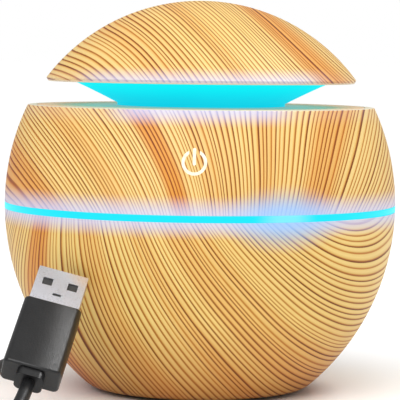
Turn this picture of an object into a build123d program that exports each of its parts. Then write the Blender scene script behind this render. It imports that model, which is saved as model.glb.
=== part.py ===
from build123d import *
from math import cos, radians, sin, sqrt, tan
import os

os.makedirs("parts", exist_ok=True)

# ---------------------------------------------------------------------------
# Driving dimensions, in millimetres. The origin is on the vertical axis of the
# body, at the level of the surface that the feet stand on. -Y is the front.
# ---------------------------------------------------------------------------
body_r = 49.85  # widest radius of the body
widest_z = 47.5  # height of the widest point
lower_arc_r = 60.0  # profile radius below the widest point
upper_arc_r = 58.0  # profile radius above the widest point
base_z = 0.7  # underside of the body, which the feet lift off the table
bottom_corner_r = 6.0
wall = 2.0  # thickness of the casing

ring_z0, ring_z1 = 46.25, 47.95  # the light ring between the two shells
plate_z0, plate_z1 = 71.2, 72.6  # the top plate
plate_r = 41.8  # inside the upper shell's rim
neck_r = 20.6  # bore of the filling neck

lid_top_z = 99.3
lid_arc_r = 49.19
lid_edge_r = 39.45
lid_edge_z = 78.6
mist_x, mist_y = 0.0, 9.0
mist_bore_r = 3.4

tank_wall_r = 38.5
tank_floor_z0, tank_floor_z1 = 30.5, 32.5
tank_rim_z = 70.4
pipe_x = -9.0  # the air pipe, over the fan
pipe_r, pipe_bore_r = 6.5, 5.0
piezo_x = 12.0

opening_r = 24.0  # hole in the bottom, closed by the base plate
board_z0, board_z1 = 12.4, 14.0
led_board_z0, led_board_z1 = 40.0, 41.2
fan_size, fan_z0, fan_z1 = 25.0, 4.2, 11.2
fan_hole = 10.0  # fan screws, from the fan's centre along X and Y

jack_z = 18.0
jack_floor_y = 36.5  # flat floor of the socket's pocket
jack_bore_r = 1.80
barrel_r = 1.75

screw_r = 1.2
screw_hole_r = 1.25
board_pillar_r, board_pillar_angles = 28.0, (60, 125, 235, 300)
tank_pillar_r, tank_pillar_angles = 41.5, (45, 165, 285)
base_screw_r, base_screw_angles = 19.5, (0, 90, 270)
foot_r = 19.0

cord_d = 3.2
coil_centre = (-16.0, 96.0)
coil_turn_r = (16.0, 19.2, 22.4)  # three turns side by side, in two layers
coil_z0 = 0.6  # the tie's strap passes under the coil
plug_tail = Vector(-38.6, -69.2, 10.8)
plug_axis = Vector(0.168, 0.791, 0.588)
plug_across = Vector(0.968, -0.021, -0.248)

BOTTOM = (Align.CENTER, Align.CENTER, Align.MIN)


def wall_r(z, inset=0.0):
    """Radius of the casing's surface at height z, moved inwards by inset."""
    arc_r = upper_arc_r if z > widest_z else lower_arc_r
    return body_r - arc_r + sqrt((arc_r - inset) ** 2 - (z - widest_z) ** 2)


def wall_points(z0, z1, inset=0.0):
    """Start, middle and end of the casing's arc between two heights."""
    return [(wall_r(z, inset), z) for z in (z0, (z0 + z1) / 2, z1)]


def dome_z(r, inset=0.0):
    """Height of the lid's dome at radius r, moved inwards by inset."""
    return lid_top_z - lid_arc_r + sqrt((lid_arc_r - inset) ** 2 - r**2)


def around(radius, angles, z=0.0):
    """Places on a circle about the body's axis."""
    return [(radius * cos(radians(a)), radius * sin(radians(a)), z) for a in angles]


def ring_of(inner_r, outer_r, z0, z1, mode=Mode.ADD):
    """A plain ring about the body's axis, in the part that is being built."""
    with BuildSketch(Plane.XY.offset(z0)) as section:
        Circle(outer_r)
        Circle(inner_r, mode=Mode.SUBTRACT)
    extrude(section.sketch, amount=z1 - z0, mode=mode)


def screws(places, head_r, head_z, head_up, tip_z):
    """Screws whose heads' flat undersides are at head_z, in the part that is being built."""
    head_height = 1.3
    head_base = head_z if head_up else head_z - head_height
    with Locations(*[(x, y, head_base) for x, y, _ in places]):
        Cylinder(head_r, head_height, align=BOTTOM)
    with Locations(*[(x, y, min(tip_z, head_z)) for x, y, _ in places]):
        Cylinder(screw_r, abs(head_z - tip_z), align=BOTTOM)


# ---------------------------------------------------------------------------
# Lower shell: a bowl with pillars for the boards and the tank, and a pocket
# at the back for the power socket
# ---------------------------------------------------------------------------
board_pillars = around(board_pillar_r, board_pillar_angles)
tank_pillars = around(tank_pillar_r, tank_pillar_angles)
base_lugs = around(base_screw_r, base_screw_angles)
tank_pillar_top = 34.0
lug_top = 9.0
jack_plane = Plane(origin=(0, jack_floor_y, jack_z), x_dir=(1, 0, 0), z_dir=(0, 1, 0))
pocket_r, pocket_wall, pocket_floor = 6.0, 1.6, 2.0

with BuildPart() as bowl_cavity:
    inside_z = base_z + wall
    with BuildSketch(Plane.XZ) as cavity_section:
        with BuildLine():
            ThreePointArc(*wall_points(inside_z, ring_z0 + 1, wall))
            Polyline(
                (wall_r(ring_z0 + 1, wall), ring_z0 + 1),
                (0, ring_z0 + 1),
                (0, inside_z),
                (wall_r(inside_z, wall), inside_z),
            )
        make_face()
        fillet(
            cavity_section.vertices().group_by(Axis.Y)[0].sort_by(Axis.X)[-1],
            bottom_corner_r - wall,
        )
    revolve(axis=Axis.Z)
    with Locations(*board_pillars):
        Cylinder(2.6, board_z0, align=BOTTOM, mode=Mode.SUBTRACT)
    with Locations(*tank_pillars):
        Cylinder(3.0, tank_pillar_top, align=BOTTOM, mode=Mode.SUBTRACT)
    with Locations(*base_lugs):
        Cylinder(3.2, lug_top, align=BOTTOM, mode=Mode.SUBTRACT)
    for angle in base_screw_angles:
        with Locations(Location((0, 0, inside_z), (0, 0, angle))):
            with Locations((base_screw_r + 4, 0, 0)):
                Box(8, 5, 3.3, align=BOTTOM, mode=Mode.SUBTRACT)
    with Locations(jack_plane.offset(-pocket_floor)):
        Cylinder(pocket_r + pocket_wall, 20, align=BOTTOM, mode=Mode.SUBTRACT)
    Cylinder(opening_r, inside_z, align=BOTTOM)

with BuildPart() as lower_shell:
    with BuildSketch(Plane.XZ) as bowl_section:
        with BuildLine():
            ThreePointArc(*wall_points(base_z, ring_z0))
            Polyline(
                (wall_r(ring_z0), ring_z0), (0, ring_z0), (0, base_z), (wall_r(base_z), base_z)
            )
        make_face()
        fillet(
            bowl_section.vertices().group_by(Axis.Y)[0].sort_by(Axis.X)[-1], bottom_corner_r
        )
    revolve(axis=Axis.Z)
    add(bowl_cavity.part, mode=Mode.SUBTRACT)
    with Locations(jack_plane):
        Cylinder(pocket_r, 20, align=BOTTOM, mode=Mode.SUBTRACT)
    with Locations(jack_plane.offset(-5)):
        Cylinder(3.6, 8, align=BOTTOM, mode=Mode.SUBTRACT)
    with Locations(*[(x, y, 6) for x, y, _ in board_pillars]):
        Cylinder(screw_hole_r, board_z0 - 6, align=BOTTOM, mode=Mode.SUBTRACT)
    with Locations(*[(x, y, 29) for x, y, _ in tank_pillars]):
        Cylinder(screw_hole_r, tank_pillar_top - 29, align=BOTTOM, mode=Mode.SUBTRACT)
    with Locations(*[(x, y, inside_z) for x, y, _ in base_lugs]):
        Cylinder(screw_hole_r, 5.5, align=BOTTOM, mode=Mode.SUBTRACT)
lower_shell.part.label = "lower_shell"
export_step(lower_shell.part, "parts/lower_shell.step")

# ---------------------------------------------------------------------------
# Base plate with the air inlet under the fan, its screws and the rubber feet
# ---------------------------------------------------------------------------
fan_corners = [(pipe_x + sx * fan_hole, sy * fan_hole, 0) for sx in (-1, 1) for sy in (-1, 1)]
feet_places = around(foot_r, (45, 135, 225, 315))
foot_pocket = 0.5

with BuildPart() as base_plate:
    with Locations((0, 0, base_z)):
        Cylinder(opening_r - 0.15, wall, align=BOTTOM)
    with Locations(*[(x, y, base_z + wall) for x, y, _ in fan_corners]):
        Cylinder(2.2, fan_z0 - base_z - wall, align=BOTTOM)
    with Locations(*[(x, y, base_z + 0.8) for x, y, _ in fan_corners]):
        Cylinder(screw_hole_r, 4, align=BOTTOM, mode=Mode.SUBTRACT)
    with BuildSketch(Plane.XY.offset(base_z)):
        for row in range(-2, 3):
            slot_y = row * 3.4
            slot_length = 2 * sqrt(10.0**2 - slot_y**2) - 3.0
            with Locations((pipe_x + 1.0, slot_y)):
                SlotOverall(slot_length, 1.8)
    extrude(amount=wall, mode=Mode.SUBTRACT)
    with Locations(*[(x, y, base_z) for x, y, _ in feet_places]):
        Cylinder(3.9, foot_pocket, align=BOTTOM, mode=Mode.SUBTRACT)
    with Locations(*[(x, y, base_z) for x, y, _ in base_lugs]):
        Cylinder(2.6, 1.3, align=BOTTOM, mode=Mode.SUBTRACT)
        Cylinder(1.35, wall, align=BOTTOM, mode=Mode.SUBTRACT)
base_plate.part.label = "base_plate"
export_step(base_plate.part, "parts/base_plate.step")

with BuildPart() as base_screws:
    screws(base_lugs, 2.4, base_z + 1.3, False, 8.0)
base_screws.part.label = "base_screws"
export_step(base_screws.part, "parts/base_screws.step")

with BuildPart() as feet:
    with Locations(*feet_places):
        Cylinder(3.8, base_z + foot_pocket, align=BOTTOM)
    fillet(feet.faces().group_by(Axis.Z)[0].edges(), 0.3)
feet.part.label = "feet"
export_step(feet.part, "parts/feet.step")

# ---------------------------------------------------------------------------
# Light ring: a translucent band whose skirt lines up the two shells
# ---------------------------------------------------------------------------
with BuildPart() as light_ring:
    ring_of(46.0, 47.4, 44.4, 49.8)
    ring_of(46.0, body_r, ring_z0, ring_z1)
    fillet(light_ring.edges().filter_by(GeomType.CIRCLE).group_by(SortBy.RADIUS)[-1], 0.25)
light_ring.part.label = "light_ring"
export_step(light_ring.part, "parts/light_ring.step")

# ---------------------------------------------------------------------------
# Power mark: an open circle and a bar, laid flush into the front of the shell
# ---------------------------------------------------------------------------
icon_z = 60.4
icon_angle = radians(268.3)
icon_depth = 0.4
icon_plane = Plane(
    origin=(44 * cos(icon_angle), 44 * sin(icon_angle), icon_z),
    x_dir=(-sin(icon_angle), cos(icon_angle), 0),
    z_dir=(cos(icon_angle), sin(icon_angle), 0),
)


def icon_solid(proud):
    """The power mark as a skin of the upper shell that stands out by proud."""
    with BuildPart() as skin:
        with BuildSketch(Plane.XZ):
            with BuildLine():
                outer = wall_points(icon_z - 5, icon_z + 5, -proud)
                inner = wall_points(icon_z - 5, icon_z + 5, icon_depth)
                ThreePointArc(*outer)
                ThreePointArc(*inner)
                Line(outer[0], inner[0])
                Line(outer[2], inner[2])
            make_face()
        revolve(axis=Axis.Z)
    with BuildPart() as icon:
        with BuildSketch(icon_plane):
            Circle(3.03)
            Circle(2.28, mode=Mode.SUBTRACT)
            with Locations((0, 2.6)):
                Rectangle(2.54, 3.0, mode=Mode.SUBTRACT)
            with Locations((0, 1.37)):
                SlotOverall(4.13, 0.78, rotation=90)
        extrude(amount=9)
        add(skin.part, mode=Mode.INTERSECT)
    return icon


power_icon = icon_solid(0.0)
power_icon.part.label = "power_icon"
export_step(power_icon.part, "parts/power_icon.step")

with BuildPart() as upper_shell:
    with BuildSketch(Plane.XZ):
        with BuildLine():
            outer = wall_points(ring_z1, plate_z1)
            inner = wall_points(ring_z1, plate_z1, wall)
            ThreePointArc(*outer)
            ThreePointArc(*inner)
            Line(outer[0], inner[0])
            Line(outer[2], inner[2])
        make_face()
    revolve(axis=Axis.Z)
    rim_edges = upper_shell.edges().filter_by(GeomType.CIRCLE).group_by(Axis.Z)[-1]
    fillet(rim_edges.sort_by(SortBy.RADIUS)[-1], 0.5)
    add(icon_solid(1.0).part, mode=Mode.SUBTRACT)
upper_shell.part.label = "upper_shell"
export_step(upper_shell.part, "parts/upper_shell.step")

# ---------------------------------------------------------------------------
# Top plate with the filling neck, snapped under the shell's rim, and its seal
# ---------------------------------------------------------------------------
with BuildPart() as top_plate:
    ring_of(neck_r, plate_r, plate_z0, plate_z1)
    top_circles = top_plate.edges().filter_by(GeomType.CIRCLE).group_by(Axis.Z)[-1]
    fillet(top_circles.sort_by(SortBy.RADIUS)[-1], 0.3)
    ring_of(neck_r, neck_r + 1.6, 66.0, plate_z0)
    ring_of(41.3, 42.3, 69.6, plate_z0)
top_plate.part.label = "top_plate"
export_step(top_plate.part, "parts/top_plate.step")

with BuildPart() as tank_seal:
    ring_of(38.8, 40.6, tank_rim_z, plate_z0)
tank_seal.part.label = "tank_seal"
export_step(tank_seal.part, "parts/tank_seal.step")

# ---------------------------------------------------------------------------
# Water tank with its air pipe, screw ears and the seat of the mist disc
# ---------------------------------------------------------------------------
retainer_screw_y = 15.0
retainer_z0, retainer_z1 = 25.2, 27.2
retainer_screws_at = [(piezo_x, sy * retainer_screw_y, 0) for sy in (-1, 1)]

with BuildPart() as water_tank:
    with BuildSketch(Plane.XZ) as tank_section:
        with BuildLine():
            Polyline(
                (0, tank_floor_z0),
                (tank_wall_r, tank_floor_z0),
                (tank_wall_r, 38.6),
                (41.0, 38.6),
                (41.0, led_board_z0),
                (tank_wall_r, led_board_z0),
                (tank_wall_r, 68.8),
                (40.9, 68.8),
                (40.9, tank_rim_z),
                (tank_wall_r - wall, tank_rim_z),
                (tank_wall_r - wall, tank_floor_z1),
                (0, tank_floor_z1),
                close=True,
            )
        make_face()
        corners = tank_section.vertices()
        fillet(corners.group_by(Axis.Y)[0].sort_by(Axis.X)[-1], 4.0)
        fillet(corners.group_by(Axis.Y)[1].sort_by(Axis.X)[-1], 3.0)
    revolve(axis=Axis.Z)
    for angle in tank_pillar_angles:
        with Locations(Location((0, 0, tank_pillar_top), (0, 0, angle))):
            with Locations((40.9, 0, 0)):
                Box(6.8, 8, 2.5, align=BOTTOM)
    with Locations((pipe_x, 0, tank_floor_z0)):
        Cylinder(pipe_r, 64.0 - tank_floor_z0, align=BOTTOM)
        Cylinder(pipe_bore_r, 64.0 - tank_floor_z0, align=BOTTOM, mode=Mode.SUBTRACT)
    with Locations((piezo_x, 0, tank_floor_z0)):
        Cylinder(7.6, wall, align=BOTTOM, mode=Mode.SUBTRACT)
    with Locations(*[(x, y, retainer_z1) for x, y, _ in retainer_screws_at]):
        Cylinder(2.8, tank_floor_z0 - retainer_z1, align=BOTTOM)
        Cylinder(screw_hole_r, 4.0, align=BOTTOM, mode=Mode.SUBTRACT)
    with Locations(*[(x, y, tank_pillar_top) for x, y, _ in tank_pillars]):
        Cylinder(1.35, 2.5, align=BOTTOM, mode=Mode.SUBTRACT)
    with Locations((-5.5, -39.0, 55.0), (5.5, -39.0, 55.0)):
        Box(2.5, 2.4, 8.0, align=BOTTOM)
water_tank.part.label = "water_tank"
export_step(water_tank.part, "parts/water_tank.step")

with BuildPart() as tank_screws:
    screws(tank_pillars, 2.3, tank_pillar_top + 2.5, True, 30.0)
tank_screws.part.label = "tank_screws"
export_step(tank_screws.part, "parts/tank_screws.step")

# ---------------------------------------------------------------------------
# Ultrasonic mist maker: a brass disc in a soft gasket, held by a plate
# ---------------------------------------------------------------------------
disc_r, disc_z0, disc_z1 = 10.0, 28.4, 29.2

with BuildPart() as piezo_disc:
    with Locations((piezo_x, 0, disc_z0)):
        Cylinder(disc_r, disc_z1 - disc_z0, align=BOTTOM)
piezo_disc.part.label = "piezo_disc"
export_step(piezo_disc.part, "parts/piezo_disc.step")

with BuildPart() as piezo_gasket:
    with Locations((piezo_x, 0, retainer_z1)):
        Cylinder(11.5, tank_floor_z0 - retainer_z1, align=BOTTOM)
        Cylinder(7.6, tank_floor_z0 - retainer_z1, align=BOTTOM, mode=Mode.SUBTRACT)
    with Locations((piezo_x, 0, disc_z0)):
        Cylinder(disc_r, disc_z1 - disc_z0, align=BOTTOM, mode=Mode.SUBTRACT)
piezo_gasket.part.label = "piezo_gasket"
export_step(piezo_gasket.part, "parts/piezo_gasket.step")

with BuildPart() as piezo_retainer:
    with BuildSketch(Plane.XY.offset(retainer_z0)):
        with Locations((piezo_x, 0)):
            RectangleRounded(21, 37, 3)
            Circle(9.0, mode=Mode.SUBTRACT)
        with Locations(*[(x, y) for x, y, _ in retainer_screws_at]):
            Circle(1.35, mode=Mode.SUBTRACT)
    extrude(amount=retainer_z1 - retainer_z0)
piezo_retainer.part.label = "piezo_retainer"
export_step(piezo_retainer.part, "parts/piezo_retainer.step")

with BuildPart() as piezo_screws:
    screws(retainer_screws_at, 2.3, retainer_z0, False, 30.5)
piezo_screws.part.label = "piezo_screws"
export_step(piezo_screws.part, "parts/piezo_screws.step")

# ---------------------------------------------------------------------------
# Lights: a ring-shaped board on the tank's collar
# ---------------------------------------------------------------------------
with BuildPart() as led_board:
    ring_of(38.7, 45.0, led_board_z0, led_board_z1)
    with Locations((0, -44, led_board_z0)):
        Box(5, 6, led_board_z1 - led_board_z0, align=BOTTOM, mode=Mode.SUBTRACT)
led_board.part.label = "led_board"
export_step(led_board.part, "parts/led_board.step")

with BuildPart() as leds:
    with Locations((0, 0, led_board_z1)):
        with PolarLocations(42.6, 12, start_angle=15):
            Box(2.8, 3.5, 1.4, align=BOTTOM)
leds.part.label = "leds"
export_step(leds.part, "parts/leds.step")

# ---------------------------------------------------------------------------
# Main board and what is soldered to it
# ---------------------------------------------------------------------------
with BuildPart() as main_board:
    with BuildSketch(Plane.XY.offset(board_z0)):
        Circle(33.5)
        with Locations((-19, 0)):
            Rectangle(46, 28, mode=Mode.SUBTRACT)
        with Locations(*[(x, y) for x, y, _ in board_pillars]):
            Circle(1.35, mode=Mode.SUBTRACT)
    extrude(amount=board_z1 - board_z0)
main_board.part.label = "main_board"
export_step(main_board.part, "parts/main_board.step")

with BuildPart() as board_screws:
    screws(board_pillars, 2.2, board_z1, True, 6.5)
board_screws.part.label = "board_screws"
export_step(board_screws.part, "parts/board_screws.step")

with BuildPart() as control_chip:
    with Locations((20, -8, board_z1)):
        Box(10, 7.5, 2.0, align=BOTTOM)
control_chip.part.label = "control_chip"
export_step(control_chip.part, "parts/control_chip.step")

with BuildPart() as capacitors:
    with Locations((13, -16.8, board_z1), (21, -17.5, board_z1)):
        Cylinder(3.15, 7.5, align=BOTTOM)
capacitors.part.label = "capacitors"
export_step(capacitors.part, "parts/capacitors.step")

with BuildPart() as inductor:
    with Locations((21, 9, board_z1)):
        Cylinder(4.0, 5.5, align=BOTTOM)
inductor.part.label = "inductor"
export_step(inductor.part, "parts/inductor.step")

with BuildPart() as driver_transistor:
    with Locations((9, -8, board_z1)):
        Box(6.5, 6, 2.3, align=BOTTOM)
driver_transistor.part.label = "driver_transistor"
export_step(driver_transistor.part, "parts/driver_transistor.step")

# The power socket lies on the board behind the pocket's floor. On its own plane
# Z points out of the socket.
jack_bore_depth = 10.0

with BuildPart(jack_plane) as power_jack:
    with Locations((0, 0, -pocket_floor - 12.5)):
        Box(9, 2 * (jack_z - board_z1), 12.5, align=BOTTOM)
    with Locations((0, 0, -pocket_floor)):
        Cylinder(3.5, pocket_floor, align=BOTTOM)
    with Locations((0, 0, -jack_bore_depth)):
        Cylinder(jack_bore_r, jack_bore_depth, align=BOTTOM, mode=Mode.SUBTRACT)
    with Locations((0, 0, -jack_bore_depth - 1)):
        Cylinder(0.6, 1, align=BOTTOM, mode=Mode.SUBTRACT)
power_jack.part.label = "power_jack"
export_step(power_jack.part, "parts/power_jack.step")

with BuildPart(jack_plane) as jack_pin:
    with Locations((0, 0, -jack_bore_depth - 1)):
        Cylinder(0.6, 9.0, align=BOTTOM)
jack_pin.part.label = "jack_pin"
export_step(jack_pin.part, "parts/jack_pin.step")

# ---------------------------------------------------------------------------
# Fan: a frame with its bearing and stator, and a rotor that spins on them
# ---------------------------------------------------------------------------
fan_hub_r = 5.5
blade_tip_r = 10.9
blades = 7

with BuildPart() as fan_frame:
    with BuildSketch(Plane.XY.offset(fan_z0)):
        with Locations((pipe_x, 0)):
            RectangleRounded(fan_size, fan_size, 1.5)
            Circle(11.4, mode=Mode.SUBTRACT)
        with Locations(*[(x, y) for x, y, _ in fan_corners]):
            Circle(1.35, mode=Mode.SUBTRACT)
    extrude(amount=fan_z1 - fan_z0)
    with BuildSketch(Plane.XY.offset(fan_z0)):
        with Locations((pipe_x, 0)):
            Circle(5.0)
            with PolarLocations(0, 2, start_angle=45):
                Rectangle(23.4, 1.6)
            with PolarLocations(0, 2, start_angle=135):
                Rectangle(23.4, 1.6)
            Circle(1.6, mode=Mode.SUBTRACT)
    extrude(amount=0.8)
fan_frame.part.label = "fan_frame"
export_step(fan_frame.part, "parts/fan_frame.step")

with BuildPart() as fan_bearing:
    with Locations((pipe_x, 0, fan_z0)):
        Cylinder(1.6, 5.0, align=BOTTOM)
        Cylinder(0.80, 5.0, align=BOTTOM, mode=Mode.SUBTRACT)
fan_bearing.part.label = "fan_bearing"
export_step(fan_bearing.part, "parts/fan_bearing.step")

with BuildPart() as fan_stator:
    with Locations((pipe_x, 0, fan_z0 + 1.4)):
        Cylinder(2.4, 3.2, align=BOTTOM)
        with PolarLocations(2.9, 4):
            Box(2.4, 1.8, 3.2, align=BOTTOM)
        Cylinder(1.6, 3.2, align=BOTTOM, mode=Mode.SUBTRACT)
fan_stator.part.label = "fan_stator"
export_step(fan_stator.part, "parts/fan_stator.step")

with BuildPart() as fan_rotor:
    with Locations((pipe_x, 0, fan_z0 + 1.3)):
        Cylinder(fan_hub_r, 5.3, align=BOTTOM)
        Cylinder(fan_hub_r - 0.8, 4.4, align=BOTTOM, mode=Mode.SUBTRACT)
    with Locations((pipe_x, 0, fan_z0 + 0.3)):
        Cylinder(0.75, 5.6, align=BOTTOM)
    for k in range(blades):
        with Locations(Location((pipe_x, 0, fan_z0 + 3.9), (0, 0, 360 * k / blades))):
            with Locations(Location(((fan_hub_r + blade_tip_r) / 2 - 0.3, 0, 0), (38, 0, 0))):
                Box(blade_tip_r - fan_hub_r + 0.4, 0.9, 5.2)
fan_rotor.part.label = "fan_rotor"
export_step(fan_rotor.part, "parts/fan_rotor.step")

duct_flange_z1 = fan_z1 + 1.0

with BuildPart() as fan_screws:
    screws(fan_corners, 1.9, duct_flange_z1, True, 2.0)
fan_screws.part.label = "fan_screws"
export_step(fan_screws.part, "parts/fan_screws.step")

# The duct gathers the fan's air into the tank's air pipe.
with BuildPart() as fan_duct:
    with BuildSketch(Plane.XY.offset(fan_z1)):
        with Locations((pipe_x, 0)):
            RectangleRounded(fan_size, fan_size, 1.5)
        with Locations(*[(x, y) for x, y, _ in fan_corners]):
            Circle(1.35, mode=Mode.SUBTRACT)
    extrude(amount=1.0)
    with Locations((pipe_x, 0, fan_z1)):
        with Locations((0, 0, 1.0)):
            Cone(11.0, pipe_r, 10.0, align=BOTTOM)
        with Locations((0, 0, 11.0)):
            Cylinder(pipe_r, tank_floor_z0 - fan_z1 - 11.0, align=BOTTOM)
        with Locations((0, 0, 1.0)):
            Cone(9.9, pipe_bore_r, 10.0, align=BOTTOM, mode=Mode.SUBTRACT)
        Cylinder(9.9, 1.0, align=BOTTOM, mode=Mode.SUBTRACT)
        Cylinder(pipe_bore_r, tank_floor_z0 - fan_z1, align=BOTTOM, mode=Mode.SUBTRACT)
    with Locations(*[(x, y, duct_flange_z1) for x, y, _ in fan_corners]):
        Cylinder(2.2, 4.0, align=BOTTOM, mode=Mode.SUBTRACT)
fan_duct.part.label = "fan_duct"
export_step(fan_duct.part, "parts/fan_duct.step")

# ---------------------------------------------------------------------------
# Touch key behind the power mark
# ---------------------------------------------------------------------------
touch_y0, touch_y1 = -40.2, -41.2

with BuildPart() as touch_board:
    with Locations((0, (touch_y0 + touch_y1) / 2, icon_z)):
        Box(15, touch_y0 - touch_y1, 10)
touch_board.part.label = "touch_board"
export_step(touch_board.part, "parts/touch_board.step")

with BuildPart(Plane(origin=(0, touch_y1, icon_z), x_dir=(1, 0, 0), z_dir=(0, -1, 0))) as touch_pad:
    Cylinder(3.6, wall_r(icon_z + 3.6, wall) + touch_y1 - 0.4, align=BOTTOM)
touch_pad.part.label = "touch_pad"
export_step(touch_pad.part, "parts/touch_pad.step")

# ---------------------------------------------------------------------------
# Inner wiring: round wires from board to board
# ---------------------------------------------------------------------------
wire_r = 0.6


def wire(points, bend_r):
    """A wire along straight runs with rounded bends."""
    with BuildPart() as run:
        with BuildLine() as route:
            FilletPolyline(*points, radius=bend_r)
        with BuildSketch(Plane(origin=route.line @ 0, z_dir=route.line % 0)):
            Circle(wire_r)
        sweep(path=route.line)
    return run


piezo_wire = wire([(12, 4, disc_z0), (12, 4, 21), (16, 2, 18), (16, 2, board_z1)], 1.5)
piezo_wire.part.label = "piezo_wire"
export_step(piezo_wire.part, "parts/piezo_wire.step")

led_wire = wire([(42, 0, led_board_z0), (42, 0, 33), (31, 0, 21), (31, 0, board_z1)], 4.0)
led_wire.part.label = "led_wire"
export_step(led_wire.part, "parts/led_wire.step")

touch_wire_points = [
    (0, touch_y1 - 0.7, icon_z - 4.4),
    (0, -43, 52),
    (0, -43, 30),
    (0, -29, 20),
    (0, -29, board_z1),
]
touch_wire = wire(touch_wire_points, 2.0)
touch_wire.part.label = "touch_wire"
export_step(touch_wire.part, "parts/touch_wire.step")

fan_wire = wire([(pipe_x + fan_size / 2, 7, 9), (6.5, 7, 9), (6.5, 7, board_z0)], 1.2)
fan_wire.part.label = "fan_wire"
export_step(fan_wire.part, "parts/fan_wire.step")

# ---------------------------------------------------------------------------
# Lid: a translucent cone that stands in the neck, and a dome that turns on it
# ---------------------------------------------------------------------------
spigot_r = 20.0
cone_wall = 1.6
flange_r, flange_z0, flange_z1 = 35.8, 79.0, 80.2

with BuildPart() as light_cone:
    with BuildSketch(Plane.XZ):
        with BuildLine():
            Polyline(
                (spigot_r, 67.0),
                (spigot_r, plate_z1 + 0.05),
                (21.4, plate_z1 + 0.05),
                (21.4, 73.25),
            )
            ThreePointArc((21.4, 73.25), (27.2, 76.15), (33.4, flange_z0))
            Polyline(
                (33.4, flange_z0),
                (flange_r, flange_z0),
                (flange_r, flange_z1),
                (31.6, flange_z1),
            )
            ThreePointArc((31.6, flange_z1), (26.3, 77.55), (spigot_r - cone_wall, 73.7))
            Polyline(
                (spigot_r - cone_wall, 73.7), (spigot_r - cone_wall, 67.0), (spigot_r, 67.0)
            )
        make_face()
    revolve(axis=Axis.Z)
light_cone.part.label = "light_cone"
export_step(light_cone.part, "parts/light_cone.step")

nozzle_r = mist_bore_r + 0.9

with BuildPart() as lid_dome:
    with BuildSketch(Plane.XZ) as dome_section:
        with BuildLine():
            edge_top_z = dome_z(lid_edge_r)
            inner_edge_r = 37.6
            inner_edge_z = dome_z(inner_edge_r, wall)
            ThreePointArc((0, lid_top_z), (22, dome_z(22)), (lid_edge_r, edge_top_z))
            Polyline(
                (lid_edge_r, edge_top_z),
                (lid_edge_r - 0.45, lid_edge_z),
                (inner_edge_r, lid_edge_z),
                (inner_edge_r, inner_edge_z),
            )
            ThreePointArc(
                (inner_edge_r, inner_edge_z), (21, dome_z(21, wall)), (0, lid_top_z - wall)
            )
            Line((0, lid_top_z - wall), (0, lid_top_z))
        make_face()
        fillet(dome_section.vertices().group_by(Axis.Y)[0].sort_by(Axis.X)[-1], 0.4)
    revolve(axis=Axis.Z)
    ring_of(32.6, 35.4, 80.5, 82.2)
    with Locations((mist_x, mist_y, 80)):
        Cylinder(nozzle_r, 25, align=BOTTOM, mode=Mode.SUBTRACT)
lid_dome.part.label = "lid_dome"
export_step(lid_dome.part, "parts/lid_dome.step")

with BuildPart() as mist_nozzle:
    with Locations((mist_x, mist_y, 86)):
        Cylinder(nozzle_r, lid_top_z - 86, align=BOTTOM)
        Cylinder(mist_bore_r, lid_top_z - 86, align=BOTTOM, mode=Mode.SUBTRACT)
    fillet(mist_nozzle.faces().group_by(Axis.Z)[-1].edges(), 0.3)
mist_nozzle.part.label = "mist_nozzle"
export_step(mist_nozzle.part, "parts/mist_nozzle.step")

# ---------------------------------------------------------------------------
# Power lead: a round plug in the socket, the cord, its coil and the USB plug
# ---------------------------------------------------------------------------
grip_start, grip_length, grip_r = 0.6, 14.0, 4.25
relief_length, relief_end_r = 10.0, cord_d / 2 + 0.5

with BuildPart(jack_plane) as dc_plug_barrel:
    with Locations((0, 0, grip_start - 9.5)):
        Cylinder(barrel_r, 9.5, align=BOTTOM)
        Cylinder(0.68, 8.5, align=BOTTOM, mode=Mode.SUBTRACT)
dc_plug_barrel.part.label = "dc_plug_barrel"
export_step(dc_plug_barrel.part, "parts/dc_plug_barrel.step")

with BuildPart(jack_plane) as dc_plug_grip:
    with Locations((0, 0, grip_start)):
        Cylinder(grip_r, grip_length, align=BOTTOM)
    fillet(dc_plug_grip.edges().filter_by(GeomType.CIRCLE), 0.6)
    with Locations((0, 0, grip_start + grip_length)):
        Cone(cord_d / 2 + 1.3, relief_end_r, relief_length, align=BOTTOM)
dc_plug_grip.part.label = "dc_plug_grip"
export_step(dc_plug_grip.part, "parts/dc_plug_grip.step")


def bend_radii(points):
    """The largest radius that each corner's two runs have room for."""
    radii = []
    for before, corner, after in zip(points, points[1:], points[2:]):
        run_in, run_out = corner - before, after - corner
        turn = radians(run_in.get_angle(run_out))
        radii.append(0.45 * min(run_in.length, run_out.length) / tan(turn / 2))
    return radii


def cord(name, points):
    """A free length of the lead, from point to point in rounded bends."""
    radii = bend_radii(points)
    with BuildPart() as tube:
        with BuildLine() as route:
            FilletPolyline(*points, radius=radii)
        with BuildSketch(Plane(origin=route.line @ 0, z_dir=route.line % 0)):
            Circle(cord_d / 2)
        sweep(path=route.line)
    length = sum(edge.length for edge in route.edges())
    print(name, "radii", [round(r, 1) for r in radii], "length", round(length, 1))
    return tube


floor_z = cord_d / 2
relief_tip_y = jack_floor_y + grip_start + grip_length + relief_length
drop_points = [
    Vector(0.0, relief_tip_y, jack_z),
    Vector(0.0, 71.0, jack_z),
    Vector(2.4, 82.0, 12.9),
    Vector(6.8, 94.8, 4.8),
    Vector(3.4, 107.2, 2.2),
]
cord_drop = cord("cord_drop", drop_points)
cord_drop.part.label = "cord_drop"
export_step(cord_drop.part, "parts/cord_drop.step")

coil_height = 2 * cord_d
with BuildPart() as cord_coil:
    with Locations((*coil_centre, coil_z0)):
        Cylinder(coil_turn_r[2] + cord_d / 2, coil_height, align=BOTTOM)
        Cylinder(coil_turn_r[0] - cord_d / 2, coil_height, align=BOTTOM, mode=Mode.SUBTRACT)
cord_coil.part.label = "cord_coil"
export_step(cord_coil.part, "parts/cord_coil.step")

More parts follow.
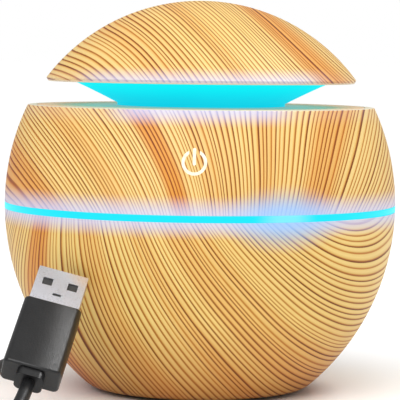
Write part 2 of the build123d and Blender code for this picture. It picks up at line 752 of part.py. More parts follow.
with BuildPart() as cord_tie:
    with Locations((coil_centre[0], coil_centre[1] - coil_turn_r[1], 0)):
        Box(7.0, 3 * cord_d + 1.6, coil_height + 2 * coil_z0, align=BOTTOM)
    add(cord_coil.part, mode=Mode.SUBTRACT)
cord_tie.part.label = "cord_tie"
export_step(cord_tie.part, "parts/cord_tie.step")

run_points = [
    Vector(-19.9, 118.1, 5.4),
    Vector(-33.5, 115.8, 4.2),
    Vector(-43.5, 107.5, 1.8),
    Vector(-48.6, 86.0, floor_z),
    Vector(-50.0, 62.0, floor_z),
    Vector(-50.4, 36.0, floor_z),
    Vector(-54.0, 18.5, floor_z),
    Vector(-62.5, 4.0, floor_z),
    Vector(-69.5, -14.0, floor_z),
    Vector(-72.0, -38.0, floor_z),
    Vector(-74.0, -62.0, floor_z),
    Vector(-73.4, -79.0, floor_z),
    Vector(-64.6, -88.6, floor_z),
    Vector(-51.4, -88.4, floor_z),
    plug_tail - 14.0 * plug_axis,
    plug_tail,
]
cord_run = cord("cord_run", run_points)
cord_run.part.label = "cord_run"
export_step(cord_run.part, "parts/cord_run.step")

# The USB plug leans on the bowl. On its own plane Z points to its tip, X goes
# across its broad face and Y is its thickness.
collar_length, usb_grip_length, usb_shell_length = 2.2, 22.0, 11.75
usb_width, usb_height = 12.0, 4.5
usb_sheet = 0.32
plug_plane = Plane(origin=plug_tail, x_dir=plug_across, z_dir=plug_axis)
grip_z1 = collar_length + usb_grip_length
usb_inset = 6.0  # of the metal shell inside the grip

with BuildPart() as usb_collar:
    with BuildSketch(plug_plane):
        RectangleRounded(6.6, 5.2, 1.4)
    extrude(amount=collar_length)
usb_collar.part.label = "usb_collar"
export_step(usb_collar.part, "parts/usb_collar.step")

with BuildPart() as usb_grip:
    with BuildSketch(plug_plane.offset(collar_length)):
        RectangleRounded(13.8, 6.8, 1.3)
    extrude(amount=usb_grip_length)
    fillet(usb_grip.faces().sort_by(Axis(plug_tail, plug_axis))[-1].edges(), 0.6)
    fillet(usb_grip.faces().sort_by(Axis(plug_tail, plug_axis))[0].edges(), 0.6)
    with BuildSketch(plug_plane.offset(grip_z1 - usb_inset)):
        Rectangle(usb_width, usb_height)
    extrude(amount=usb_inset, mode=Mode.SUBTRACT)
usb_grip.part.label = "usb_grip"
export_step(usb_grip.part, "parts/usb_grip.step")

with BuildPart() as usb_shell:
    with BuildSketch(plug_plane.offset(grip_z1 - usb_inset)):
        Rectangle(usb_width, usb_height)
        Rectangle(usb_width - 2 * usb_sheet, usb_height - 2 * usb_sheet, mode=Mode.SUBTRACT)
    extrude(amount=usb_inset + usb_shell_length)
    window_face = Plane(
        origin=plug_plane.from_local_coords((0, -usb_height, grip_z1 + usb_shell_length - 4.6)),
        x_dir=plug_plane.x_dir,
        z_dir=plug_plane.y_dir,
    )
    with BuildSketch(window_face):
        with Locations((-3.05, 0), (3.05, 0)):
            Rectangle(2.4, 2.4)
    extrude(amount=2 * usb_height, mode=Mode.SUBTRACT)
    with BuildSketch(window_face):
        with Locations((0, 3.7)):
            Rectangle(2.0, 0.8)
    extrude(amount=usb_height, mode=Mode.SUBTRACT)
usb_shell.part.label = "usb_shell"
export_step(usb_shell.part, "parts/usb_shell.step")

# The tongue fills the half of the shell's opening behind the slotted face.
tongue_y = -0.9
with BuildPart() as usb_tongue:
    with BuildSketch(plug_plane.offset(grip_z1 - usb_inset)):
        with Locations((0, tongue_y)):
            Rectangle(usb_width - 2 * usb_sheet, 1.9)
    extrude(amount=usb_inset + usb_shell_length - 0.6)
usb_tongue.part.label = "usb_tongue"
export_step(usb_tongue.part, "parts/usb_tongue.step")

with BuildPart() as usb_contacts:
    with BuildSketch(plug_plane.offset(grip_z1 + 2.0)):
        with Locations(*[(x, tongue_y + 1.9 / 2 + 0.1) for x in (-3.5, -1.0, 1.0, 3.5)]):
            Rectangle(1.1, 0.2)
    extrude(amount=usb_shell_length - 3.6)
usb_contacts.part.label = "usb_contacts"
export_step(usb_contacts.part, "parts/usb_contacts.step")
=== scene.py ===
from math import cos, pi, radians, sin

import bmesh
import bpy
from mathutils import Matrix, Vector


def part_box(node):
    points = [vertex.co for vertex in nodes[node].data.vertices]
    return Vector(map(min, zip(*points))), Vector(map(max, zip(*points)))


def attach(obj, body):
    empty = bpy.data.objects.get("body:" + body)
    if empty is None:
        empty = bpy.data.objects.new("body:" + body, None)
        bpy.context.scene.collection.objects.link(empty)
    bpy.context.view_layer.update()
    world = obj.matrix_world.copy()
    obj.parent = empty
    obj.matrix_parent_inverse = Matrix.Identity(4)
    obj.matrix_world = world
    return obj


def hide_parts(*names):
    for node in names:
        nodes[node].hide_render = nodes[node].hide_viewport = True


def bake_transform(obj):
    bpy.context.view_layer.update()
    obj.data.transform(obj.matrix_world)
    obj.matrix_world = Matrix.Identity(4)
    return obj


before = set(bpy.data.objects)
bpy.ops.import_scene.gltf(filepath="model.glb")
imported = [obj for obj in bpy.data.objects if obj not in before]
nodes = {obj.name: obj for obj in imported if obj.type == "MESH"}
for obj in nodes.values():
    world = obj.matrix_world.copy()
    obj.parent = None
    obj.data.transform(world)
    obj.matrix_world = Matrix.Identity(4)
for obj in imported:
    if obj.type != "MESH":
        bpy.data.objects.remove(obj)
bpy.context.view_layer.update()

MM = 0.001


def lin(r, g, b):
    """A colour given as 0-255 display values, as the linear colour that a shader takes."""
    out = []
    for value in (r, g, b):
        v = value / 255
        out.append(v / 12.92 if v <= 0.04045 else ((v + 0.055) / 1.055) ** 2.4)
    return (*out, 1.0)


# ---------------------------------------------------------------------------
# Camera
# ---------------------------------------------------------------------------
pitch, roll = radians(3.7463), radians(0.669)
forward = Vector((0, cos(pitch), -sin(pitch)))
level_up = Vector((0, sin(pitch), cos(pitch)))
cam_right = cos(roll) * Vector((1, 0, 0)) + sin(roll) * level_up
cam_up = cos(roll) * level_up - sin(roll) * Vector((1, 0, 0))
camera_data = bpy.data.cameras.new("camera")
camera_data.lens = 209.3
camera_data.sensor_width = 36.0
camera_data.clip_start = 0.01
camera_data.clip_end = 100.0
camera = bpy.data.objects.new("camera", camera_data)
camera.matrix_world = Matrix.Translation((0, -0.5944, 0.08737)) @ Matrix(
    (cam_right, cam_up, -forward)
).transposed().to_4x4()
bpy.context.scene.collection.objects.link(camera)
bpy.context.scene.camera = camera

# ---------------------------------------------------------------------------
# The power cord's line: down from the round plug, a coil, and the run to the
# USB plug. All in metres.
# ---------------------------------------------------------------------------
cord_d = 0.0032
drop_points = [
    (0, 0.0611, 0.018),
    (0, 0.071, 0.018),
    (0.0024, 0.082, 0.0129),
    (0.0068, 0.0948, 0.0048),
]
run_points = [
    (-0.0335, 0.1158, 0.0042),
    (-0.0435, 0.1075, 0.0018),
    (-0.0486, 0.086, 0.0016),
    (-0.0500, 0.062, 0.0016),
    (-0.0504, 0.036, 0.0016),
    (-0.0540, 0.0185, 0.0016),
    (-0.0625, 0.004, 0.0016),
    (-0.0695, -0.014, 0.0016),
    (-0.072, -0.038, 0.0016),
    (-0.074, -0.062, 0.0016),
    (-0.0734, -0.079, 0.0016),
    (-0.0646, -0.0886, 0.0016),
    (-0.0514, -0.0884, 0.0016),
    (-0.04095, -0.08027, 0.00257),
    (-0.0386, -0.0692, 0.0108),
]
coil_centre = Vector((-0.016, 0.096, 0))
coil_turns = [
    (0.0224, 0.0022),
    (0.0192, 0.0022),
    (0.0160, 0.0022),
    (0.0160, 0.0054),
    (0.0192, 0.0054),
    (0.0224, 0.0054),
]
per_turn = 14
first_angle, last_angle = radians(30), radians(30 + 5 * 360 + 70)
change_span = 0.18  # share of a turn in which the cord moves over to the next one


def coil_points():
    """The coil's turns, from the outside in on the lower layer and out again on the upper one."""
    found = []
    count = round((last_angle - first_angle) / (2 * pi) * per_turn)
    for k in range(count + 1):
        turned = (last_angle - first_angle) * k / count
        turn = min(int(turned / (2 * pi) + 1e-9), len(coil_turns) - 1)
        part = turned / (2 * pi) - turn
        r0, z0 = coil_turns[turn]
        r1, z1 = coil_turns[min(turn + 1, len(coil_turns) - 1)]
        t = min(max((part - 1 + change_span) / change_span, 0), 1)
        t = t * t * (3 - 2 * t)
        radius = (r0 + (r1 - r0) * t) / cos(pi / per_turn)
        angle = first_angle + turned
        found.append(coil_centre + Vector((radius * cos(angle), radius * sin(angle), z0 + (z1 - z0) * t)))
    return found


def spline_line(points, name):
    """Points along the smooth line that these points control."""
    curve = bpy.data.curves.new(name, "CURVE")
    curve.dimensions = "3D"
    curve.resolution_u = 6
    spline = curve.splines.new("NURBS")
    spline.points.add(len(points) - 1)
    for p, co in zip(spline.points, points):
        p.co = (*co, 1.0)
    spline.order_u = 3
    spline.use_endpoint_u = True
    holder = bpy.data.objects.new(name, curve)
    bpy.context.scene.collection.objects.link(holder)
    bpy.context.view_layer.update()
    line = bpy.data.meshes.new_from_object(holder)
    found = [v.co.copy() for v in line.vertices]
    bpy.data.objects.remove(holder)
    bpy.data.meshes.remove(line)
    return found


def new_object(name, bm):
    """A shown object from a bmesh, shaded smooth."""
    mesh = bpy.data.meshes.new(name)
    bm.to_mesh(mesh)
    bm.free()
    for polygon in mesh.polygons:
        polygon.use_smooth = True
    obj = bpy.data.objects.new(name, mesh)
    bpy.context.scene.collection.objects.link(obj)
    return obj


def tube(line, radius, sides, name):
    """A round tube along a line, with closed ends."""
    bm = bmesh.new()
    rings = []
    side = Vector((1, 0, 0))
    for k, p in enumerate(line):
        ahead = (line[min(k + 1, len(line) - 1)] - line[max(k - 1, 0)]).normalized()
        side = (side - side.dot(ahead) * ahead).normalized()
        other = ahead.cross(side)
        ring = []
        for j in range(sides):
            a = 2 * pi * j / sides
            ring.append(bm.verts.new(p + radius * (cos(a) * side + sin(a) * other)))
        rings.append(ring)
    for a, b in zip(rings, rings[1:]):
        for j in range(sides):
            bm.faces.new((a[j], a[(j + 1) % sides], b[(j + 1) % sides], b[j]))
    bm.faces.new(reversed(rings[0]))
    bm.faces.new(rings[-1])
    bmesh.ops.recalc_face_normals(bm, faces=bm.faces)
    return new_object(name, bm)


cord_line = spline_line(drop_points + coil_points() + run_points, "cord_line")
cord = tube(cord_line, cord_d / 2, 14, "power_cord")


def swept_band(centre, across, tall, wide, thick, corner, name):
    """A flat strap wrapped round a bundle, as a closed loop in the YZ plane."""
    bm = bmesh.new()
    outline = []
    for sy, sz, start in ((1, 1, 0), (-1, 1, 90), (-1, -1, 180), (1, -1, 270)):
        for step in range(7):
            a = radians(start + 15 * step)
            outline.append(
                (
                    sy * (across / 2 - corner) + corner * cos(a),
                    sz * (tall / 2 - corner) + corner * sin(a),
                    cos(a),
                    sin(a),
                )
            )
    section = [(-1, 0), (-0.86, 0.75), (-0.5, 1), (0.5, 1), (0.86, 0.75), (1, 0), (0.5, -0.1), (-0.5, -0.1)]
    rings = []
    for y, z, ny, nz in outline:
        rings.append(
            [
                bm.verts.new(
                    centre + Vector((u * wide / 2, y - ny * thick * (1 - v), z - nz * thick * (1 - v)))
                )
                for u, v in section
            ]
        )
    n = len(section)
    for k, a in enumerate(rings):
        b = rings[(k + 1) % len(rings)]
        for j in range(n):
            bm.faces.new((a[j], a[(j + 1) % n], b[(j + 1) % n], b[j]))
    bmesh.ops.recalc_face_normals(bm, faces=bm.faces)
    return new_object(name, bm)


tie_low, tie_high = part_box("cord_tie")
tie_centre = (tie_low + tie_high) / 2
tie_size = tie_high - tie_low
tie = swept_band(
    tie_centre,
    tie_size.y,
    tie_size.z,
    wide=5.5 * MM,
    thick=0.6 * MM,
    corner=2.2 * MM,
    name="cord_tie_band",
)


def relief_rings(name):
    """Raised rings round the strain relief, along its taper."""
    taper_y, taper_length, wide_r, narrow_r = 0.0511, 0.010, 0.00425, 0.0021
    axis_z = 0.018
    start, end, steps = 0.0520, 0.0605, 6
    # one ring's section: along the taper and outwards from it, in mm
    profile = [(-0.45, -0.25), (-0.36, 0.14), (0, 0.26), (0.36, 0.14), (0.45, -0.25)]
    bm = bmesh.new()
    for k in range(steps):
        y = start + (end - start) * k / (steps - 1)
        cone_r = wide_r + (narrow_r - wide_r) * (y - taper_y) / taper_length
        loops = []
        for j in range(32):
            a = 2 * pi * j / 32
            loops.append(
                [
                    bm.verts.new(
                        (
                            (cone_r + h * MM) * cos(a),
                            y + w * MM,
                            axis_z + (cone_r + h * MM) * sin(a),
                        )
                    )
                    for w, h in profile
                ]
            )
        for j in range(32):
            a, b = loops[j], loops[(j + 1) % 32]
            for i in range(len(profile)):
                q = (i + 1) % len(profile)
                bm.faces.new((a[i], a[q], b[q], b[i]))
    bmesh.ops.recalc_face_normals(bm, faces=bm.faces)
    return new_object(name, bm)


ribs = relief_rings("relief_rings")

# ---------------------------------------------------------------------------
# Node helpers for materials
# ---------------------------------------------------------------------------


class Graph:
    """One material's nodes. Numbers, colours and sockets can be given for any input."""

    def __init__(self, name):
        self.material = bpy.data.materials.new(name)
        self.material.use_nodes = True
        self.tree = self.material.node_tree
        self.shader = self.tree.nodes["Principled BSDF"]
        coords = self.tree.nodes.new("ShaderNodeTexCoord")
        self.p = self.vector("SCALE", coords.outputs["Object"], scale=1000)
        parts = self.tree.nodes.new("ShaderNodeSeparateXYZ")
        self.tree.links.new(self.p, parts.inputs[0])
        self.x, self.y, self.z = parts.outputs

    def put(self, socket, value):
        if isinstance(value, bpy.types.NodeSocket):
            self.tree.links.new(value, socket)
        else:
            socket.default_value = value

    def vector(self, operation, a, b=None, scale=None):
        node = self.tree.nodes.new("ShaderNodeVectorMath")
        node.operation = operation
        self.put(node.inputs[0], a)
        if b is not None:
            self.put(node.inputs[1], b)
        if scale is not None:
            node.inputs["Scale"].default_value = scale
        return node.outputs["Value" if operation == "DOT_PRODUCT" else "Vector"]

    def math(self, operation, a, b=0.0, clamp=False):
        node = self.tree.nodes.new("ShaderNodeMath")
        node.operation = operation
        node.use_clamp = clamp
        self.put(node.inputs[0], a)
        self.put(node.inputs[1], b)
        return node.outputs[0]

    def add(self, a, b):
        return self.math("ADD", a, b)

    def sub(self, a, b):
        return self.math("SUBTRACT", a, b)

    def mul(self, a, b):
        return self.math("MULTIPLY", a, b)

    def hypot(self, a, b):
        return self.math("SQRT", self.add(self.mul(a, a), self.mul(b, b)))

    def step(self, value, low, high, to_low=0.0, to_high=1.0):
        """A smooth change from to_low to to_high as value goes from low to high."""
        node = self.tree.nodes.new("ShaderNodeMapRange")
        node.interpolation_type = "SMOOTHSTEP"
        self.put(node.inputs[0], value)
        for socket, number in zip(node.inputs[1:5], (low, high, to_low, to_high)):
            socket.default_value = number
        return node.outputs[0]

    def noise(self, vector, scale, detail=2.0, dims="3D"):
        node = self.tree.nodes.new("ShaderNodeTexNoise")
        node.noise_dimensions = dims
        self.put(node.inputs["W" if dims == "1D" else "Vector"], vector)
        node.inputs["Scale"].default_value = scale
        node.inputs["Detail"].default_value = detail
        return node.outputs["Fac"]

    def random(self, value):
        node = self.tree.nodes.new("ShaderNodeTexWhiteNoise")
        node.noise_dimensions = "1D"
        self.put(node.inputs["W"], value)
        return node.outputs["Value"]

    def ramp(self, value, stops):
        node = self.tree.nodes.new("ShaderNodeValToRGB")
        elements = node.color_ramp.elements
        while len(elements) < len(stops):
            elements.new(0.5)
        for element, (position, colour) in zip(elements, stops):
            element.position = position
            element.color = colour if hasattr(colour, "__len__") else (colour, colour, colour, 1)
        self.put(node.inputs[0], value)
        return node.outputs[0]

    def mix(self, factor, a, b, blend="MIX"):
        node = self.tree.nodes.new("ShaderNodeMix")
        node.data_type = "RGBA"
        node.blend_type = blend
        self.put(node.inputs[0], factor)
        self.put(node.inputs[6], a)
        self.put(node.inputs[7], b)
        return node.outputs[2]

    def bump(self, height, strength, distance):
        node = self.tree.nodes.new("ShaderNodeBump")
        node.inputs["Strength"].default_value = strength
        node.inputs["Distance"].default_value = distance
        self.put(node.inputs["Height"], height)
        self.tree.links.new(node.outputs[0], self.shader.inputs["Normal"])

    def set(self, **values):
        for name, value in values.items():
            self.put(self.shader.inputs[name.replace("_", " ")], value)
        return self.material


def paint(material, *names):
    """Gives these CAD nodes a material."""
    for name in names:
        obj = nodes[name]
        if not obj.material_slots:
            obj.data.materials.append(material)
        for place in obj.material_slots:
            place.material = material


def dress(obj, material):
    obj.data.materials.clear()
    obj.data.materials.append(material)


# ---------------------------------------------------------------------------
# Printed wood: fine growth lines. On each shell the line number is a smooth
# function of X and Z, given as rows of coefficients: row i holds those of
# u**i * v**0, u**i * v**1 and so on, with u = x/40 and v = (z-50)/40 in mm.
# ---------------------------------------------------------------------------
RING_LOW, RING_HIGH = 46.3, 47.9  # just inside the light ring's edges, in mm
PROFILE_Z = 47.5  # height of the shells' widest place, where their profile arcs are centred
LID_CENTRE_Z = 50.11  # centre of the sphere that the lid is a cap of
LIGHT = lin(250, 220, 142)
WARM = lin(238, 196, 108)
ORANGE = lin(202, 132, 50)
DARK = lin(122, 58, 6)
GLOW = lin(188, 200, 240)
FLARE = lin(112, 186, 246)
CREAM = lin(222, 208, 184)
LID_LINES = [[0, 10.3, -1.7, 8.6], [31.4, -9.5, 12.7], [-4.1, 15.8], [-3.7]]
UPPER_LINES = [[0, 9.3, 9.3, -10.3, 3.3], [49.3, -33.1, 10.3, -13.3], [0.9, -8.5, 5.6], [-6, 11.3], [1.2]]
LOWER_LINES = [[0, -26, -3.8, 1.6, 1.5], [-39.9, -17.8, -0.1, 4.1], [9.9, 22.8, 13], [4.3, 1.7], [3.2]]


def field(g, rows):
    """The sum that the rows of coefficients stand for."""
    u = g.mul(g.x, 1 / 40)
    v = g.mul(g.sub(g.z, 50.0), 1 / 40)
    total = None
    for row in reversed(rows):
        inner = row[-1]
        for number in reversed(row[:-1]):
            inner = g.add(g.mul(v, inner), number)
        total = inner if total is None else g.add(g.mul(total, u), inner)
    return total


def wood(name, rows, outside, bands, glows, base_tone_and_shade, flare=None):
    """Wood print on one shell.

    rows give the line number, and outside says where the print is. bands are (line number,
    half width in lines, depth) of broad darker growth bands. glows and flare are masks of the
    light beside lit edges, and base_tone_and_shade multiplies the colour: by an even tone, or on the
    lower shell by painted shade that darkens it towards the foot.
    """
    g = Graph(name)
    smooth = g.add(field(g, rows), g.mul(g.y, 0.02))
    sway = g.mul(g.sub(g.noise(g.p, 0.03, 1.0), 0.5), 1.1)
    crowd = g.mul(g.sub(g.noise(smooth, 0.21, 1.0, "1D"), 0.5), 2.2)
    number = g.add(g.add(smooth, sway), crowd)
    whole = g.math("FLOOR", number)
    part = g.math("FRACT", number)
    own = g.random(whole)
    along = g.noise(g.p, 0.06, 2.0)
    line = g.ramp(
        part,
        [(0.0, 0.42), (0.10, 0.10), (0.38, 0.04), (0.62, 0.22), (0.76, 0.62), (0.86, 1.0), (0.93, 0.92)],
    )
    weight = g.mul(g.add(g.mul(own, 0.50), 0.66), g.add(g.mul(along, 0.5), 0.72))
    strength = g.math("MULTIPLY", line, weight, clamp=True)
    colour = g.ramp(strength, [(0.0, LIGHT), (0.25, WARM), (0.58, ORANGE), (1.0, DARK)])
    # broad darker growth bands, and slow changes of tone
    dusk = g.step(g.noise(smooth, 0.085, 1.0, "1D"), 0.5, 0.75, 0.0, 0.4)
    for centre, half, depth in bands:
        away = g.math("ABSOLUTE", g.sub(g.add(smooth, sway), centre))
        dusk = g.math("MAXIMUM", dusk, g.step(away, half * 0.3, half, depth, 0.0))
    colour = g.mix(dusk, colour, g.mix(1.0, colour, lin(238, 186, 118), "MULTIPLY"))
    patch = g.step(g.noise(g.p, 0.022, 2.0), 0.35, 0.7, 0.0, 0.3)
    colour = g.mix(patch, colour, g.mix(1.0, colour, lin(240, 222, 190), "MULTIPLY"))
    pores = g.noise(g.vector("MULTIPLY", g.p, (1.0, 1.0, 0.25)), 2.6, 2.0)
    colour = g.mix(g.step(pores, 0.6, 0.8, 0.0, 0.12), colour, ORANGE)
    # base tone of the shell; on the lower shell this is painted shade, darker towards the foot
    colour = g.mix(1.0, colour, base_tone_and_shade(g), "MULTIPLY")
    # light from the ring and the cone, close to their edges
    lit = None
    for make in glows:
        one = make(g)
        lit = one if lit is None else g.math("MAXIMUM", lit, one)
    colour = g.mix(g.mul(lit, 0.66), colour, GLOW)
    if flare:
        colour = g.mix(g.mul(flare(g), 0.62), colour, FLARE)
    # plain moulded plastic wherever the print doesn't reach, inside the shell
    colour = g.mix(outside(g), CREAM, colour)
    height = g.add(g.mul(strength, -0.8), g.mul(g.noise(g.p, 7.0, 2.0), 0.35))
    g.bump(height, 0.2, 0.0001)
    rough = g.step(strength, 0.0, 1.0, 0.44, 0.56)
    g.shader.inputs["Emission Color"].default_value = lin(200, 208, 255)
    g.put(g.shader.inputs["Emission Strength"], g.mul(lit, 0.05))
    return g.set(Base_Color=colour, Roughness=rough, Specular_IOR_Level=0.3)


def even(g):
    """The same tone all over the shell."""
    return (0.865, 0.86, 0.93, 1.0)


def painted_shade_below(g):
    """Painted shade: the colour grows darker towards the foot."""
    return g.ramp(
        g.mul(g.z, 0.02),
        [(0.0, lin(205, 176, 152)), (0.45, lin(235, 237, 232)), (1.0, lin(239, 241, 242))],
    )


def near_ring(reach_up, reach_down):
    """Glow beside the light ring, this far up and down from its edges, in mm."""

    def make(g):
        above = g.step(g.z, RING_HIGH, RING_HIGH + reach_up, 1.0, 0.0)
        below = g.step(g.z, RING_LOW - reach_down, RING_LOW, 0.0, 1.0)
        return g.math("MULTIPLY", above, below)

    return make


def ring_flare(g):
    """Bluer glow around the brightest part of the ring, at the front and to the right."""
    across = g.mul(g.sub(g.x, 20.0), 1 / 17)
    up = g.mul(g.sub(g.z, 47.0), 1 / 9)
    painted_light_spot = g.step(g.hypot(across, up), 0.15, 1.0, 1.0, 0.0)
    return g.mul(painted_light_spot, g.step(g.y, -12.0, -4.0, 1.0, 0.0))


def near_edge(z_from, z_to, half_width):
    """Glow beside the lit cone: strongest at z_from, gone at z_to, and over the width of the cone."""

    low, high = min(z_from, z_to), max(z_from, z_to)

    def make(g):
        along = g.step(g.z, low, high, float(z_from == low), float(z_from == high))
        across = g.step(g.math("ABSOLUTE", g.x), half_width - 4, half_width + 6, 1.0, 0.12)
        return g.mul(along, across)

    return make


def profile_shell(centre_r, least):
    """1 from the radius least outwards, about a shell's profile arc centred at centre_r, PROFILE_Z."""

    def make(g):
        r = g.hypot(g.x, g.y)
        away = g.hypot(g.sub(r, centre_r), g.sub(g.z, PROFILE_Z))
        return g.step(away, least - 0.15, least, 0.0, 1.0)

    return make


def lid_outside(g):
    """1 on the lid's outer face, which is part of a sphere."""
    height = g.sub(g.z, LID_CENTRE_Z)
    away = g.hypot(g.hypot(g.x, g.y), height)
    return g.step(away, 48.55, 48.7, 0.0, 1.0)


def upper_outside(g):
    """1 on the upper shell's outer face, below its rim."""
    return g.mul(profile_shell(-8.15, 57.4)(g), g.step(g.z, 72.5, 72.58, 1.0, 0.0))


def lower_outside(g):
    """1 on the lower shell's outer face and under its foot."""
    shell = profile_shell(-10.15, 59.4)(g)
    return g.math("MAXIMUM", shell, g.step(g.z, 2.2, 2.4, 1.0, 0.0))


paint(
    wood(
        "wood_lid",
        LID_LINES,
        lid_outside,
        [(38, 6, 0.75), (3, 4, 0.2)],
        [near_edge(78.4, 83.0, 27)],
        even,
    ),
    "lid_dome",
)
paint(
    wood(
        "wood_upper",
        UPPER_LINES,
        upper_outside,
        [(-6.5, 4, 0.95), (31.5, 6, 0.6), (-42, 7, 0.75), (-24, 4, 0.3)],
        [near_ring(5.2, 9), near_edge(72.6, 68.2, 19)],
        even,
        ring_flare,
    ),
    "upper_shell",
)
paint(
    wood(
        "wood_lower",
        LOWER_LINES,
        lower_outside,
        [(44.5, 4.5, 0.95), (30, 4, 0.35), (8, 5, 0.35)],
        [near_ring(9, 4.4)],
        # painted shade, darker towards the foot
        painted_shade_below,
        ring_flare,
    ),
    "lower_shell",
)

# ---------------------------------------------------------------------------
# Lit plastic
# ---------------------------------------------------------------------------
g = Graph("lit_cone")
cone_colour = g.ramp(
    g.step(g.z, 72.5, 79.5),
    [(0.0, lin(18, 208, 232)), (0.45, lin(14, 226, 244)), (1.0, lin(4, 248, 254))],
)
haze = g.noise(g.p, 0.09, 2.0)
cone_colour = g.mix(g.step(haze, 0.3, 0.8, 0.0, 0.08), cone_colour, lin(40, 250, 255))
g.bump(g.noise(g.p, 5.0, 2.0), 0.1, 0.0001)
cone_material = g.set(
    Base_Color=lin(0, 30, 36),
    Roughness=0.5,
    Specular_IOR_Level=0.02,
    Emission_Color=cone_colour,
    Emission_Strength=0.97,
)
paint(cone_material, "light_cone")

g = Graph("lit_ring")
# painted highlight: a paler spot on the ring's front, to the right
from_light_spot = g.hypot(g.sub(g.x, 20.5), g.mul(g.add(g.y, 45.4), 0.6))
painted_light_spot = g.step(from_light_spot, 1.5, 8.5, 0.55, 0.0)
ripple = g.step(g.noise(g.p, 0.12, 2.0), 0.35, 0.75, 0.0, 0.18)
ring_colour = g.mix(ripple, lin(16, 238, 255), lin(30, 222, 246))
ring_colour = g.mix(painted_light_spot, ring_colour, lin(170, 246, 255))
g.bump(g.noise(g.p, 5.0, 2.0), 0.08, 0.0001)
paint(
    g.set(
        Base_Color=lin(0, 30, 36),
        Roughness=0.4,
        Specular_IOR_Level=0.2,
        Emission_Color=ring_colour,
        Emission_Strength=0.97,
    ),
    "light_ring",
)

# ---------------------------------------------------------------------------
# Cream top plate, with a faint warm glow against the cone's cyan spill, and
# the printed mark
# ---------------------------------------------------------------------------
g = Graph("cream_plate")
r = g.hypot(g.x, g.y)
speck = g.noise(g.p, 1.6, 3.0)
plate_colour = g.mix(g.step(speck, 0.35, 0.7, 0.0, 0.12), lin(232, 186, 142), lin(214, 168, 124))
halo = g.step(r, 22.0, 40.0, 1.0, 0.0)
plate_colour = g.mix(halo, plate_colour, lin(246, 190, 166))
g.bump(g.noise(g.p, 4.5, 3.0), 0.25, 0.00012)
g.shader.inputs["Emission Color"].default_value = lin(255, 196, 176)
g.put(g.shader.inputs["Emission Strength"], g.add(g.mul(halo, 0.08), 0.09))
paint(g.set(Base_Color=plate_colour, Roughness=0.42, Specular_IOR_Level=0.4), "top_plate")

g = Graph("mark_ink")
ink = g.mix(g.step(g.noise(g.p, 0.9, 2.0), 0.35, 0.7), lin(246, 238, 218), lin(236, 224, 198))
g.bump(g.noise(g.p, 9.0, 2.0), 0.15, 0.00008)
paint(g.set(Base_Color=ink, Roughness=0.38), "power_icon")


# ---------------------------------------------------------------------------
# Plain plastics, rubbers and metals of the other parts
# ---------------------------------------------------------------------------
def moulded(name, light, dark, rough, grain=3.0, depth=0.00012, strength=0.3, **extra):
    """Moulded plastic or rubber with a fine texture and a slight change of tone."""
    g = Graph(name)
    tone = g.mix(g.step(g.noise(g.p, 0.22, 3.0), 0.3, 0.72), light, dark)
    fine = g.noise(g.p, grain, 3.0)
    g.bump(fine, strength, depth)
    polish = g.step(fine, 0.3, 0.7, rough - 0.05, rough + 0.06)
    return g.set(Base_Color=tone, Roughness=polish, **extra)


def metal(name, light, dark, rough, brushed=(1.0, 1.0, 0.08)):
    """Bare or plated metal with faint brushing."""
    g = Graph(name)
    strokes = g.noise(g.vector("MULTIPLY", g.p, brushed), 6.0, 3.0)
    tone = g.mix(g.step(strokes, 0.3, 0.7), light, dark)
    g.bump(strokes, 0.12, 0.00005)
    polish = g.step(strokes, 0.3, 0.7, rough - 0.05, rough + 0.07)
    return g.set(Base_Color=tone, Metallic=1.0, Roughness=polish)


white = moulded("white_plastic", lin(240, 239, 235), lin(228, 227, 222), 0.38)
paint(white, "water_tank", "mist_nozzle", "fan_duct", "piezo_retainer")
black = moulded("black_plastic", lin(34, 34, 36), lin(22, 22, 24), 0.45)
paint(black, "base_plate", "fan_frame", "fan_rotor", "power_jack")
epoxy = moulded("chip_epoxy", lin(30, 30, 32), lin(18, 18, 19), 0.55, 6.0)
paint(epoxy, "control_chip", "driver_transistor")
silicone = moulded("silicone", lin(214, 212, 206), lin(196, 195, 190), 0.6, 5.0)
paint(silicone, "tank_seal", "piezo_gasket", "touch_pad")
paint(moulded("foot_rubber", lin(38, 38, 38), lin(24, 24, 24), 0.75, 4.0), "feet")
paint(metal("screw_steel", lin(196, 196, 192), lin(160, 160, 158), 0.32),
      "base_screws", "tank_screws", "piezo_screws", "board_screws", "fan_screws", "jack_pin")
brass = metal("brass", lin(226, 190, 110), lin(198, 158, 82), 0.28, (1.0, 1.0, 1.0))
paint(brass, "piezo_disc", "fan_bearing", "usb_contacts")
paint(moulded("wire_jacket", lin(190, 30, 24), lin(160, 20, 18), 0.4, 4.0),
      "piezo_wire", "led_wire", "touch_wire", "fan_wire")
paint(moulded("led_package", lin(246, 240, 210), lin(240, 226, 170), 0.25, 4.0), "leds")

g = Graph("winding")
turns = g.math("SINE", g.mul(g.z, 14.0))
copper = g.mix(g.step(turns, -0.6, 0.9), lin(96, 44, 18), lin(196, 112, 60))
g.bump(turns, 0.5, 0.0002)
paint(g.set(Base_Color=copper, Roughness=0.32, Metallic=0.6), "inductor", "fan_stator")

g = Graph("capacitor_sleeve")
top = g.step(g.z, 20.6, 20.9)
sleeve = g.mix(top, lin(24, 30, 58), lin(205, 206, 208))
g.bump(g.noise(g.p, 4.0, 2.0), 0.15, 0.0001)
paint(g.set(Base_Color=sleeve, Roughness=0.34), "capacitors")

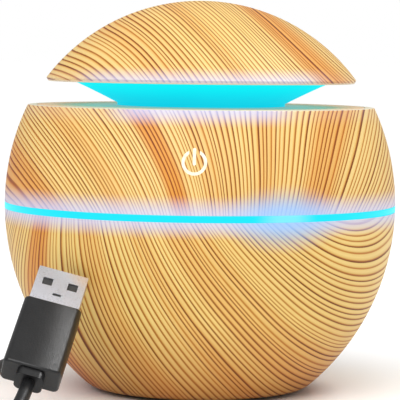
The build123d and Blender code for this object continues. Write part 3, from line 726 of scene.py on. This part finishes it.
g = Graph("circuit_board")
grid = g.vector("SCALE", g.p, scale=0.8)
split = g.tree.nodes.new("ShaderNodeSeparateXYZ")
g.tree.links.new(grid, split.inputs[0])
rows = g.step(g.math("SINE", g.mul(split.outputs[0], 3.2)), 0.72, 0.9)
columns = g.step(g.math("SINE", g.mul(split.outputs[1], 3.2)), 0.80, 0.95)
choice = g.step(g.noise(g.p, 0.13, 1.0), 0.47, 0.53)
tracks = g.add(g.mul(rows, choice), g.mul(columns, g.sub(1.0, choice)))
board = g.mix(tracks, lin(16, 92, 52), lin(40, 132, 76))
g.bump(g.add(tracks, g.noise(g.p, 3.0, 2.0)), 0.3, 0.0001)
paint(g.set(Base_Color=board, Roughness=0.3), "main_board", "led_board", "touch_board")

# ---------------------------------------------------------------------------
# The lead and its plugs
# ---------------------------------------------------------------------------
cord_skin = moulded("cord_jacket", lin(22, 22, 23), lin(14, 14, 15), 0.42, 2.2, 0.0001, 0.35)
grip_skin = moulded("plug_moulding", lin(20, 20, 21), lin(13, 13, 14), 0.36, 2.8, 0.00008, 0.25)

# The USB plug's broad faces are slightly crowned, from its middle line to its edges.
g = Graph("plug_crowned")
across, middle = Vector((0.968, -0.021, -0.248)).normalized(), Vector((-38.6, -69.2, 10.8))
from_middle = g.sub(g.vector("DOT_PRODUCT", g.p, tuple(across)), across.dot(middle))
fine = g.noise(g.p, 2.8, 3.0)
g.bump(g.add(g.mul(g.mul(from_middle, from_middle), -0.022), g.mul(fine, 0.03)), 1.0, 0.001)
tone = g.mix(g.step(g.noise(g.p, 0.22, 3.0), 0.3, 0.72), lin(20, 20, 21), lin(13, 13, 14))
crowned = g.set(Base_Color=tone, Roughness=g.step(fine, 0.3, 0.7, 0.32, 0.42))
dress(cord, cord_skin)
dress(tie, moulded("tie_strap", lin(44, 44, 46), lin(26, 26, 28), 0.7, 1.6, 0.0002, 0.6))
dress(ribs, grip_skin)
paint(grip_skin, "usb_collar", "dc_plug_grip")
paint(crowned, "usb_grip")
paint(metal("plug_nickel", lin(236, 236, 242), lin(222, 222, 230), 0.3, (1.0, 1.0, 1.0)),
      "usb_shell", "dc_plug_barrel")
paint(moulded("tongue", lin(62, 60, 58), lin(46, 45, 44), 0.5), "usb_tongue")

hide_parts("cord_drop", "cord_coil", "cord_run")
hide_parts("cord_tie")
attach(tie, "root")
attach(ribs, "power_plug")
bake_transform(cord)

# ---------------------------------------------------------------------------
# Floor and light
# ---------------------------------------------------------------------------
bm = bmesh.new()
bmesh.ops.create_circle(bm, cap_ends=True, radius=12.0, segments=96)
floor = new_object("floor", bm)
g = Graph("floor_white")
dust = g.noise(g.p, 0.01, 2.0)
floor_colour = g.mix(dust, (0.97, 0.97, 0.97, 1), (0.96, 0.96, 0.96, 1))
dress(floor, g.set(Base_Color=floor_colour, Roughness=0.9, Specular_IOR_Level=0.0))

world = bpy.data.worlds.new("studio")
bpy.context.scene.world = world
world.use_nodes = True
world.node_tree.nodes["Background"].inputs[0].default_value = (1.0, 1.0, 1.0, 1.0)
rays = world.node_tree.nodes.new("ShaderNodeLightPath")
level = world.node_tree.nodes.new("ShaderNodeMapRange")
level.inputs["To Min"].default_value = 0.47  # as a light
level.inputs["To Max"].default_value = 1.0  # as the background that the camera sees
world.node_tree.links.new(rays.outputs["Is Camera Ray"], level.inputs[0])
world.node_tree.links.new(level.outputs[0], world.node_tree.nodes["Background"].inputs[1])


def softbox(name, place, target, size, watts):
    data = bpy.data.lights.new(name, "AREA")
    data.shape = "RECTANGLE"
    data.size, data.size_y = size
    data.energy = watts
    lamp = bpy.data.objects.new(name, data)
    lamp.location = place
    lamp.rotation_euler = (Vector(target) - Vector(place)).to_track_quat("-Z", "Y").to_euler()
    bpy.context.scene.collection.objects.link(lamp)


sky_data = bpy.data.lights.new("sky", "SUN")
sky_data.energy = 2.35
sky_data.angle = radians(60)
sky = bpy.data.objects.new("sky", sky_data)
sky.rotation_euler = Vector((0.26, 0.78, -1.0)).to_track_quat("-Z", "Y").to_euler()
bpy.context.scene.collection.objects.link(sky)
softbox("side", (0.46, 0.05, 0.78), (-0.03, -0.05, 0.03), (0.16, 0.34), 2.4)

bpy.context.scene.view_settings.view_transform = "Standard"

bpy.context.view_layer.update()
